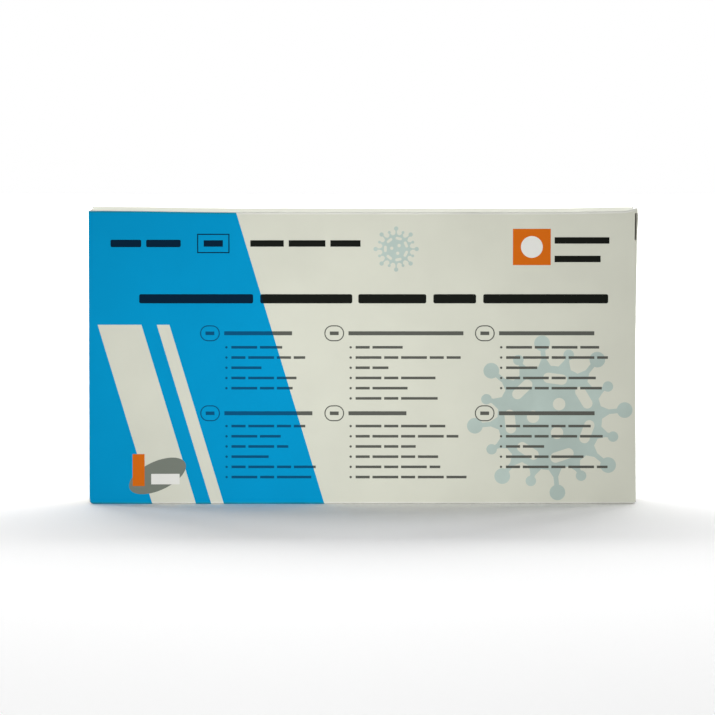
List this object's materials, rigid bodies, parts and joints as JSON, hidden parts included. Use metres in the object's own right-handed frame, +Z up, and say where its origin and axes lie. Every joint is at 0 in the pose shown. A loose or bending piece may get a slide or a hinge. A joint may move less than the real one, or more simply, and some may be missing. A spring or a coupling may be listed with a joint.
{
  "type": "test kit carton",
  "caption": "Printed tuck-end folding carton of a self-test kit, standing on its long narrow side, with hinged end closures and its contents inside.",
  "frame": {"origin": "middle of the resting face, the underside of the bottom panel", "axes": "+X along the long side, to the right as the printed front is seen; the printed front faces -Y; +Z up"},
  "size_m": [0.178, 0.021, 0.0953],
  "materials": {
    "board": "coated folding board, satin",
    "foil": "laminated foil, satin",
    "leaflet_paper": "uncoated thin paper",
    "bag_film": "thin film",
    "clear_plastic": "translucent moulding",
    "white_plastic": "moulded",
    "ampoule_plastic": "translucent moulding",
    "ink_blue": "print on coated board",
    "ink_dark": "print on coated board",
    "ink_orange": "print on coated board",
    "ink_white": "print on coated board",
    "ink_teal": "print on coated board",
    "ink_grey": "print on coated board"
  },
  "bodies": {
    "carton": {"carton_sleeve": "board", "foil_pouch": "foil", "leaflet": "leaflet_paper", "disposal_bag": "bag_film", "collection_tube": "clear_plastic", "nozzle_cap": "white_plastic", "collection_funnel": "white_plastic", "buffer_ampoule": "ampoule_plastic", "print_field": "ink_blue", "print_field_marks": "ink_dark", "print_block": "ink_orange", "print_block_disc": "ink_white", "print_block_bars": "ink_dark", "print_reference_bars": "ink_dark", "print_title_bars": "ink_dark", "print_heading_bars": "ink_dark", "print_list_bars": "ink_dark", "print_rings": "ink_dark", "print_small_rosette": "ink_teal", "print_large_rosette": "ink_teal", "print_badge": "ink_grey", "print_badge_stripe": "ink_orange", "print_badge_bar": "ink_white"},
    "left_closure": {"left_closure": "board"},
    "right_closure": {"right_closure": "board"}
  },
  "joints": [
    {"name": "left_closure_hinge", "type": "hinge", "parent": "carton", "child": "left_closure", "pos_m": [-0.089, 0.0105, 0.04765], "axis": [0, 0, -1], "range_deg": [0, 130]},
    {"name": "right_closure_hinge", "type": "hinge", "parent": "carton", "child": "right_closure", "pos_m": [0.089, 0.0105, 0.04765], "axis": [0, 0, 1], "range_deg": [0, 130]}
  ]
}
